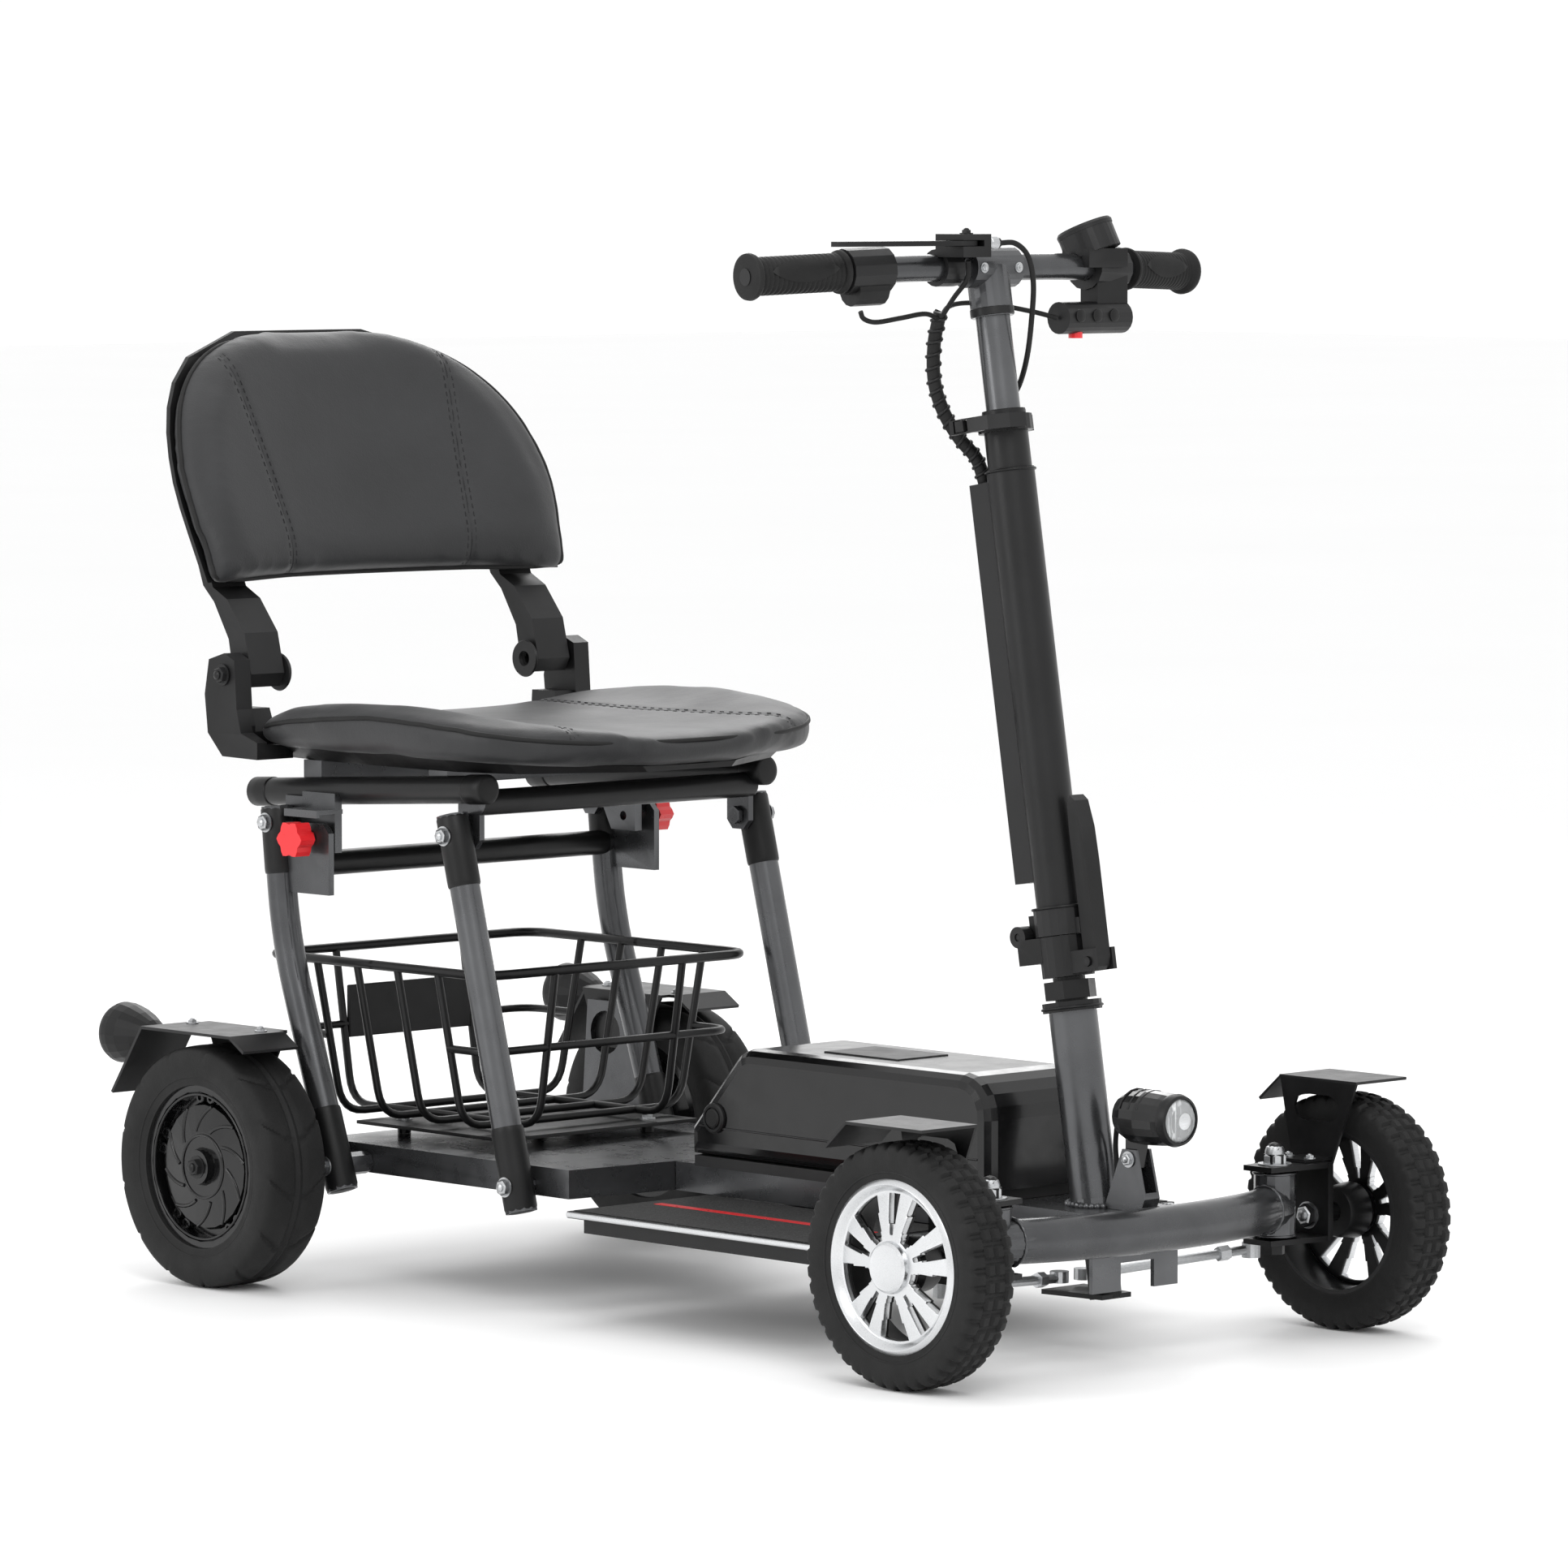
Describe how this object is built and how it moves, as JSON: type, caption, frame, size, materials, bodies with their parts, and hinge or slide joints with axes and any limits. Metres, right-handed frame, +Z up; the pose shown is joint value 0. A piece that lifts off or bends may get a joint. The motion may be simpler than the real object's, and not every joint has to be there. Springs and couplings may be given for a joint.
{
  "type": "mobility scooter",
  "caption": "Folding four-wheel mobility scooter with padded seat, wire basket, tiller, battery and front steering linkage.",
  "frame": {"origin": "on the ground under the middle of the overall box", "axes": "+Z up, -Y the way it drives, +X the rider's left"},
  "size_m": [0.591, 1.173, 0.9334],
  "materials": {
    "frame_paint": "metallic grey gloss",
    "black_metal": "black powder coat",
    "black_plastic": "satin moulded",
    "gloss_plastic": "gloss black",
    "black_rubber": "matt",
    "tyre_rubber": "matt tread",
    "upholstery": "soft grained synthetic leather",
    "silver_alloy": "machined and lacquered",
    "zinc_plate": "zinc plated",
    "deck_grip": "coarse grip sheet",
    "lamp_lens": "clear moulded lens",
    "red_plastic": "glossy red"
  },
  "bodies": {
    "chassis": {"frame_beam": "frame_paint", "bumper_tube": "frame_paint", "head_tube": "frame_paint", "rear_frame": "frame_paint", "battery_tray": "black_plastic", "basket": "black_metal", "basket_plate": "black_metal", "footboard_left": "deck_grip", "footboard_right": "deck_grip", "rear_fender_left": "black_metal", "rear_fender_right": "black_metal", "tail_lamp_left": "black_plastic", "tail_lamp_right": "black_plastic"},
    "battery": {"battery_case": "gloss_plastic"},
    "headlight": {"headlight_body": "gloss_plastic", "headlight_lens": "lamp_lens"},
    "steering": {"steering_shaft": "black_metal", "hinge_lower": "black_metal"},
    "fold_latch": {"fold_lever": "black_plastic"},
    "tiller": {"hinge_upper": "black_metal", "stem_tube": "black_metal", "cable_cover": "black_plastic", "collar": "black_metal"},
    "collar_clamp": {"collar_lever": "black_metal"},
    "bar": {"stem_upper": "frame_paint", "handlebar": "frame_paint", "grip_left": "black_rubber", "throttle_housing": "black_plastic", "control_pod": "black_plastic", "brake_perch": "black_metal", "wiring_harness": "black_rubber", "brake_cable": "black_rubber"},
    "throttle": {"throttle_grip": "black_rubber"},
    "brake": {"brake_lever": "black_metal"},
    "button": {"pod_button": "red_plastic"},
    "rear_links": {"rear_legs": "frame_paint"},
    "seat": {"seat_frame": "frame_paint", "seat_shell": "black_plastic", "seat_cushion": "upholstery"},
    "backrest": {"backrest_shell": "black_plastic", "backrest_cushion": "upholstery"},
    "front_wheel_left": {"front_tyre_left": "tyre_rubber", "front_rim_left": "silver_alloy"},
    "rear_wheel_left": {"rear_tyre_left": "tyre_rubber", "rear_hub_left": "gloss_plastic"},
    "knuckle_left": {"knuckle_left": "black_metal", "front_fender_left": "black_metal"},
    "tie_rod_left": {"tie_rod_left": "zinc_plate"},
    "front_link_left": {"front_leg_left": "frame_paint"},
    "seat_knob_left": {"seat_knob_left": "red_plastic"},
    "front_wheel_right": {"front_tyre_right": "tyre_rubber", "front_rim_right": "silver_alloy"},
    "rear_wheel_right": {"rear_tyre_right": "tyre_rubber", "rear_hub_right": "gloss_plastic"},
    "knuckle_right": {"knuckle_right": "black_metal", "front_fender_right": "black_metal"},
    "tie_rod_right": {"tie_rod_right": "zinc_plate"},
    "front_link_right": {"front_leg_right": "frame_paint"},
    "seat_knob_right": {"seat_knob_right": "red_plastic"}
  },
  "joints": [
    {"name": "steer", "type": "hinge", "parent": "chassis", "child": "steering", "pos_m": [0, -0.42803, 0.2], "axis": [0, 0.165, 0.9863], "range_deg": [-30, 30]},
    {"name": "latch_turn", "type": "hinge", "parent": "steering", "child": "fold_latch", "pos_m": [0, -0.44461, 0.32511], "axis": [1, 0, 0], "range_deg": [0, 60]},
    {"name": "tiller_fold", "type": "hinge", "parent": "steering", "child": "tiller", "pos_m": [0, -0.3695, 0.34], "axis": [-1, 0, 0], "range_deg": [0, 50]},
    {"name": "collar_turn", "type": "hinge", "parent": "tiller", "child": "collar_clamp", "pos_m": [-0.04, -0.31795, 0.76086], "axis": [0, -0.165, -0.9863], "range_deg": [0, 60]},
    {"name": "stem_slide", "type": "slide", "parent": "tiller", "child": "bar", "axis": [0, 0.165, 0.9863], "range_m": [-0.07, 0], "deforming": ["wiring_harness", "brake_cable"]},
    {"name": "throttle_twist", "type": "hinge", "parent": "bar", "child": "throttle", "pos_m": [-0.173, -0.3025, 0.89], "axis": [-0.9922, 0.1195, -0.0359], "range_deg": [0, 40], "stiffness_Nm_per_rad": 0.15},
    {"name": "brake_pull", "type": "hinge", "parent": "bar", "child": "brake", "pos_m": [-0.052, -0.3405, 0.913], "axis": [0, 0, -1], "range_deg": [0, 15], "stiffness_Nm_per_rad": 0.5},
    {"name": "button_press", "type": "slide", "parent": "bar", "child": "button", "axis": [0, 0, 1], "range_m": [0, 0.001], "stiffness_N_per_m": 300},
    {"name": "headlight_tilt", "type": "hinge", "parent": "chassis", "child": "headlight", "pos_m": [0, -0.4885, 0.165], "axis": [1, 0, 0], "range_deg": [-15, 15]},
    {"name": "battery_lift", "type": "slide", "parent": "chassis", "child": "battery", "axis": [0, 0, 1], "range_m": [0, 0.07]},
    {"name": "back_fold", "type": "hinge", "parent": "seat", "child": "backrest", "pos_m": [0, 0.4315, 0.53], "axis": [-1, 0, 0], "range_deg": [-80, 0]},
    {"name": "kingpin_left", "type": "hinge", "parent": "chassis", "child": "knuckle_left", "pos_m": [0.167, -0.4865, 0.112], "axis": [0, 0, 1], "range_deg": [-30, 30]},
    {"name": "tie_rod_turn_left", "type": "hinge", "parent": "knuckle_left", "child": "tie_rod_left", "pos_m": [0.181, -0.4465, 0.08], "axis": [0, 0, 1], "range_deg": [-30, 30]},
    {"name": "front_wheel_spin_left", "type": "hinge", "parent": "knuckle_left", "child": "front_wheel_left", "pos_m": [0.257, -0.4865, 0.1], "axis": [1, 0, 0], "continuous": true},
    {"name": "rear_wheel_spin_left", "type": "hinge", "parent": "chassis", "child": "rear_wheel_left", "pos_m": [0.262, 0.3715, 0.106], "axis": [1, 0, 0], "continuous": true},
    {"name": "knob_pull_left", "type": "slide", "parent": "rear_links", "child": "seat_knob_left", "axis": [1, 0, 0], "range_m": [0, 0.008], "stiffness_N_per_m": 400},
    {"name": "kingpin_right", "type": "hinge", "parent": "chassis", "child": "knuckle_right", "pos_m": [-0.167, -0.4865, 0.112], "axis": [0, 0, 1], "range_deg": [-30, 30]},
    {"name": "tie_rod_turn_right", "type": "hinge", "parent": "knuckle_right", "child": "tie_rod_right", "pos_m": [-0.181, -0.4465, 0.08], "axis": [0, 0, 1], "range_deg": [-30, 30]},
    {"name": "front_wheel_spin_right", "type": "hinge", "parent": "knuckle_right", "child": "front_wheel_right", "pos_m": [-0.257, -0.4865, 0.1], "axis": [1, 0, 0], "continuous": true},
    {"name": "rear_wheel_spin_right", "type": "hinge", "parent": "chassis", "child": "rear_wheel_right", "pos_m": [-0.262, 0.3715, 0.106], "axis": [1, 0, 0], "continuous": true},
    {"name": "knob_pull_right", "type": "slide", "parent": "rear_links", "child": "seat_knob_right", "axis": [-1, 0, 0], "range_m": [0, 0.008], "stiffness_N_per_m": 400},
    {"name": "seat_fold", "type": "hinge", "parent": "chassis", "child": "front_link_left", "pos_m": [0.176, 0.08, 0.106], "axis": [-1, 0, 0], "range_deg": [-78, 0]},
    {"name": "front_link_right_turn", "type": "hinge", "parent": "chassis", "child": "front_link_right", "pos_m": [-0.176, 0.08, 0.106], "axis": [-1, 0, 0], "range_deg": [-78, 0]},
    {"name": "rear_links_turn", "type": "hinge", "parent": "chassis", "child": "rear_links", "pos_m": [0, 0.2995, 0.106], "axis": [-1, 0, 0], "range_deg": [-78, 0]},
    {"name": "seat_level", "type": "hinge", "parent": "front_link_left", "child": "seat", "pos_m": [0.176, 0.1585, 0.4025], "axis": [-1, 0, 0], "range_deg": [0, 78]}
  ],
  "couplings": [
    {"joint": "kingpin_left", "follows": "steer", "ratio": 1},
    {"joint": "tie_rod_turn_left", "follows": "steer", "ratio": -1},
    {"joint": "kingpin_right", "follows": "steer", "ratio": 1},
    {"joint": "tie_rod_turn_right", "follows": "steer", "ratio": -1},
    {"joint": "front_link_right_turn", "follows": "seat_fold", "ratio": 1},
    {"joint": "rear_links_turn", "follows": "seat_fold", "ratio": 1},
    {"joint": "seat_level", "follows": "seat_fold", "ratio": -1}
  ]
}
